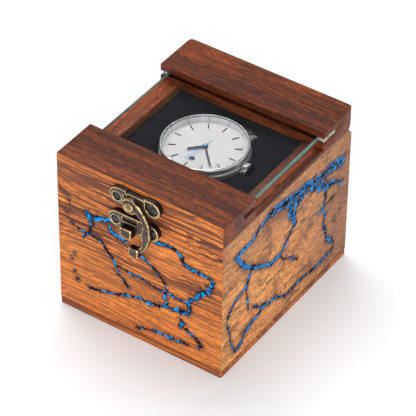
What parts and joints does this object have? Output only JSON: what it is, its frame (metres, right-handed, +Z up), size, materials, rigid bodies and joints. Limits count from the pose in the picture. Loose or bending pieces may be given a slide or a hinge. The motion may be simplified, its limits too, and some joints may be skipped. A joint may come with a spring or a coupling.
{
  "type": "watch display box",
  "caption": "Small wooden watch display box with a glazed hinged lid, brass swing latch, blue resin in branching burn channels and a wristwatch on a suede pad.",
  "frame": {"origin": "middle of the flat underside of the base board", "axes": "+Z up, -Y towards the front face with the latch, +X towards the side with the watch's crown"},
  "size_m": [0.09, 0.1116, 0.0895],
  "materials": {
    "box_wood": "oiled",
    "lid_wood": "oiled",
    "blue_resin": "gloss",
    "black_suede": "napped",
    "aged_brass": "aged",
    "window_glass": "gloss",
    "clear_glue": "satin",
    "crystal_glass": "gloss",
    "dial_silver": "satin",
    "blue_steel": "gloss",
    "dark_leather": "satin",
    "bright_steel": "polished",
    "movement_brass": "satin",
    "satin_steel": "satin"
  },
  "bodies": {
    "box": {"base_board": "box_wood", "front_wall": "box_wood", "right_wall": "box_wood", "rear_wall": "box_wood", "left_wall": "box_wood", "front_resin_inlay": "blue_resin", "right_resin_inlay": "blue_resin", "rear_resin_inlay": "blue_resin", "left_resin_inlay": "blue_resin", "display_cushion": "black_suede", "catch_plate": "aged_brass", "catch_nails": "aged_brass", "left_hinge_box_leaf": "aged_brass", "right_hinge_box_leaf": "aged_brass", "left_hinge_pin": "aged_brass", "right_hinge_pin": "aged_brass", "hinge_box_screws": "aged_brass", "watch_case": "satin_steel", "watch_case_back": "satin_steel", "watch_bezel": "satin_steel", "watch_crystal": "crystal_glass", "watch_dial": "dial_silver", "dial_flange": "dial_silver", "dial_batons": "bright_steel", "dial_jewel": "blue_steel", "watch_movement": "movement_brass", "hand_post": "satin_steel", "crown_sleeve": "satin_steel", "spring_bars": "satin_steel", "front_strap": "dark_leather", "rear_strap": "dark_leather", "strap_buckle": "satin_steel"},
    "lid": {"lid_front_bar": "lid_wood", "lid_rear_bar": "lid_wood", "lid_left_rail": "lid_wood", "lid_right_rail": "lid_wood", "glass_pane": "window_glass", "glass_glue": "clear_glue", "left_hinge_lid_leaf": "aged_brass", "right_hinge_lid_leaf": "aged_brass", "hinge_lid_screws": "aged_brass", "latch_plate": "aged_brass", "latch_nails": "aged_brass", "latch_rivet": "aged_brass"},
    "hook": {"latch_hook": "aged_brass"},
    "stem": {"winding_stem": "satin_steel"},
    "crown": {"watch_crown": "satin_steel"},
    "minute_hand": {"minute_hand": "bright_steel"},
    "hour_hand": {"hour_hand": "bright_steel"},
    "seconds_hand": {"seconds_hand": "blue_steel"}
  },
  "joints": [
    {"name": "lid_hinge", "type": "hinge", "parent": "box", "child": "lid", "pos_m": [0, 0.0494, 0.0776], "axis": [-1, 0, 0], "range_deg": [0, 98]},
    {"name": "hook_swing", "type": "hinge", "parent": "lid", "child": "hook", "pos_m": [-0.0015, -0.0525, 0.0823], "axis": [0, -1, 0], "range_deg": [-11, 100]},
    {"name": "crown_pull", "type": "slide", "parent": "box", "child": "stem", "axis": [0.9997, -0.0262, 0], "range_m": [0, 0.001]},
    {"name": "crown_turn", "type": "hinge", "parent": "stem", "child": "crown", "pos_m": [0.02319, -0.0018, 0.07654], "axis": [0.9997, -0.0262, 0], "continuous": true},
    {"name": "minute_turn", "type": "hinge", "parent": "box", "child": "minute_hand", "pos_m": [0.0002, -0.0012, 0.0793], "axis": [0, 0, -1], "continuous": true},
    {"name": "hour_turn", "type": "hinge", "parent": "box", "child": "hour_hand", "pos_m": [0.0002, -0.0012, 0.079], "axis": [0, 0, -1], "continuous": true},
    {"name": "seconds_turn", "type": "hinge", "parent": "box", "child": "seconds_hand", "pos_m": [0.0002, -0.0012, 0.0796], "axis": [0, 0, -1], "continuous": true}
  ],
  "couplings": [
    {"joint": "hour_turn", "follows": "minute_turn", "ratio": 0.083333}
  ]
}
